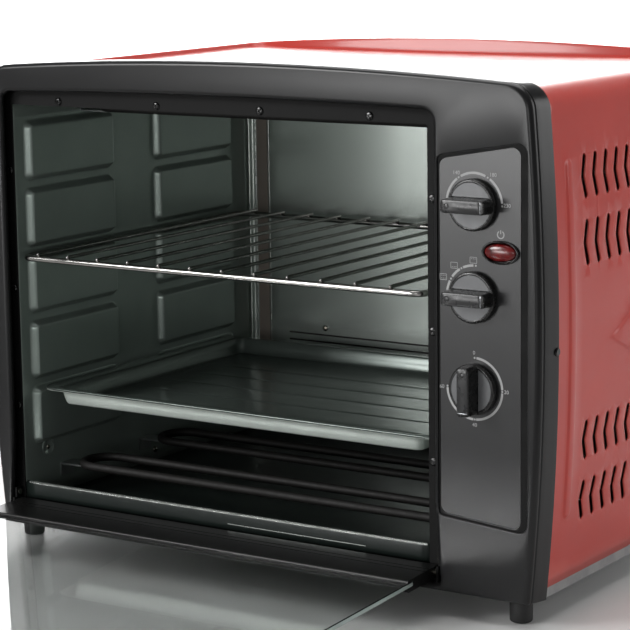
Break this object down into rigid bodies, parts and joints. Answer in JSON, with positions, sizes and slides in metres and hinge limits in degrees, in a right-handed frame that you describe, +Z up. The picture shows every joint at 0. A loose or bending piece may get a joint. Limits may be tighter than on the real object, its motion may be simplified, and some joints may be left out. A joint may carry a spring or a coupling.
{
  "type": "tabletop electric oven",
  "caption": "Tabletop electric oven with a drop-down glass door, wire rack and tray in pressed guides, heating elements, rotary controls and a vented bulged housing.",
  "frame": {"origin": "on the supporting surface, under the middle of the box round the oven and its open door", "axes": "+X to the right seen from the front, +Y to the rear of the oven, +Z up"},
  "size_m": [0.5146, 0.7168, 0.396],
  "materials": {
    "fascia_black": "satin moulded black",
    "control_plate": "satin black trim",
    "frame_black": "black paint",
    "housing_red": "gloss red paint",
    "zinc_steel": "zinc plated",
    "enamel": "dark green-grey vitreous enamel",
    "tray_enamel": "glossy dark enamel",
    "chrome": "bright plated wire",
    "screw_steel": "bright",
    "screw_black": "black oxide",
    "heater_sheath": "heat-darkened sheath",
    "ceramic": "glazed ceramic",
    "door_glass": "clear toughened, green edge",
    "door_black": "satin black",
    "knob_black": "black",
    "knob_grey": "dark grey",
    "shaft_steel": "machined",
    "switch_moulding": "moulded",
    "lamp_red": "translucent red",
    "bezel_black": "black",
    "foot_black": "matt"
  },
  "bodies": {
    "chassis": {"fascia": "fascia_black", "control_plate": "control_plate", "front_frame": "frame_black", "outer_housing": "housing_red", "back_panel": "zinc_steel", "base_plate": "zinc_steel", "heat_shield": "zinc_steel", "control_bracket": "zinc_steel", "heater_tabs": "zinc_steel", "cavity_left_wall": "enamel", "cavity_right_wall": "enamel", "cavity_ceiling": "enamel", "cavity_rear_wall": "enamel", "cavity_floor": "enamel", "frame_screws": "screw_steel", "hinge_pins": "screw_steel", "hinge_rivets": "screw_steel", "hinge_ears": "screw_steel", "back_screws": "screw_steel", "side_screws": "screw_black", "lower_heater_front": "heater_sheath", "lower_heater_rear": "heater_sheath", "upper_heater_front": "heater_sheath", "upper_heater_rear": "heater_sheath", "heater_bushes": "ceramic", "thermostat": "switch_moulding", "function_switch": "switch_moulding", "timer": "switch_moulding", "lamp_body": "switch_moulding", "lamp_lens": "lamp_red", "lamp_bezel": "bezel_black", "front_left_foot": "foot_black", "front_right_foot": "foot_black", "rear_left_foot": "foot_black", "rear_right_foot": "foot_black", "lead_bushing": "foot_black"},
    "door": {"door_lower_rail": "door_black", "door_glass": "door_glass", "door_upper_rail": "door_black"},
    "temperature_control": {"temperature_knob": "knob_black", "temperature_knob_face": "knob_grey", "temperature_shaft": "shaft_steel"},
    "function_control": {"function_knob": "knob_black", "function_knob_face": "knob_grey", "function_shaft": "shaft_steel"},
    "timer_control": {"timer_knob": "knob_black", "timer_knob_face": "knob_grey", "timer_shaft": "shaft_steel"},
    "rack": {"wire_rack": "chrome"},
    "tray": {"baking_tray": "tray_enamel"}
  },
  "joints": [
    {"name": "door_hinge", "type": "hinge", "parent": "chassis", "child": "door", "pos_m": [-0.0325, -0.02306, 0.031], "axis": [-1, 0, 0], "range_deg": [0, 92.5]},
    {"name": "rack_slide", "type": "slide", "parent": "chassis", "child": "rack", "axis": [0, 1, 0], "range_m": [-0.26, 0.02]},
    {"name": "tray_slide", "type": "slide", "parent": "chassis", "child": "tray", "axis": [0, 1, 0], "range_m": [-0.22, 0.04]},
    {"name": "temperature_knob_turn", "type": "hinge", "parent": "chassis", "child": "temperature_control", "pos_m": [0.199, -0.02756, 0.3023], "axis": [0, 1, 0], "range_deg": [0, 180]},
    {"name": "function_knob_turn", "type": "hinge", "parent": "chassis", "child": "function_control", "pos_m": [0.199, -0.02756, 0.2369], "axis": [0, 1, 0], "range_deg": [0, 135]},
    {"name": "timer_knob_turn", "type": "hinge", "parent": "chassis", "child": "timer_control", "pos_m": [0.199, -0.02756, 0.1709], "axis": [0, 1, 0], "range_deg": [0, 270]}
  ]
}
